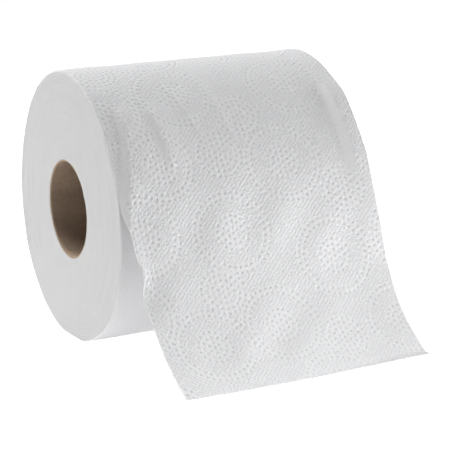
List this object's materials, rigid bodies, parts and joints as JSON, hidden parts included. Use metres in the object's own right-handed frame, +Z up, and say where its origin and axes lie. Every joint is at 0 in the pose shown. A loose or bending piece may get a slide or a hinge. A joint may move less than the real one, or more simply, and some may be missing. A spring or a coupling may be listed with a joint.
{
  "type": "toilet paper roll",
  "caption": "Soft round roll of embossed white tissue wound on a brown paperboard core, its loose end leaving the front of the roll and draping to the floor.",
  "frame": {"origin": "centre of the core bore, on its axis and halfway along the roll", "axes": "+X along the core, to the right as seen from the front; -Y is the front, where the loose end comes down; +Z is up"},
  "size_m": [0.1016, 0.1539, 0.1032],
  "materials": {
    "core_board": "matt grey-brown recycled board",
    "tissue": "matt soft embossed tissue"
  },
  "bodies": {
    "root": {"core_tube": "core_board", "paper_roll": "tissue"}
  },
  "joints": []
}
